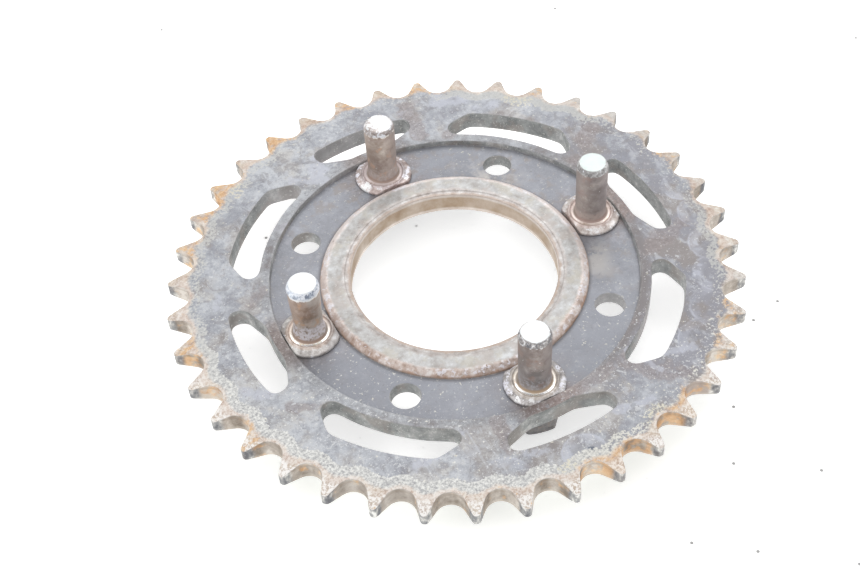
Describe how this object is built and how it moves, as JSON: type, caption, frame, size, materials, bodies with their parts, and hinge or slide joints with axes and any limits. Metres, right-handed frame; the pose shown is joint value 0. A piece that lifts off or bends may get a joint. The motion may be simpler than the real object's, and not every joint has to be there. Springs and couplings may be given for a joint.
{
  "type": "rear sprocket",
  "caption": "Toothed steel rear drive sprocket with a raised bore ring, lightening slots and drive pins held by washers and nuts.",
  "frame": {"origin": "on the sprocket's axis, in the plane of the drive pins' threaded tails that it stands on", "axes": "+Z along the sprocket axis, towards the free ends of the drive pins (the wheel-hub side); +X through one drive pin"},
  "size_m": [0.1631, 0.1632, 0.0372],
  "materials": {
    "plate_steel": "worn blue-grey steel with dusty oxide and rusty teeth",
    "pin_steel": "brown oiled rust with bright worn ends",
    "washer_steel": "dull zinc gone grey",
    "nut_steel": "dull, grimy"
  },
  "bodies": {
    "root": {"sprocket_plate": "plate_steel", "drive_pin_1": "pin_steel", "drive_pin_2": "pin_steel", "drive_pin_3": "pin_steel", "drive_pin_4": "pin_steel", "plain_washer_1": "washer_steel", "plain_washer_2": "washer_steel", "plain_washer_3": "washer_steel", "plain_washer_4": "washer_steel", "spring_washer_1": "washer_steel", "spring_washer_2": "washer_steel", "spring_washer_3": "washer_steel", "spring_washer_4": "washer_steel", "hex_nut_1": "nut_steel", "hex_nut_2": "nut_steel", "hex_nut_3": "nut_steel", "hex_nut_4": "nut_steel"}
  },
  "joints": []
}
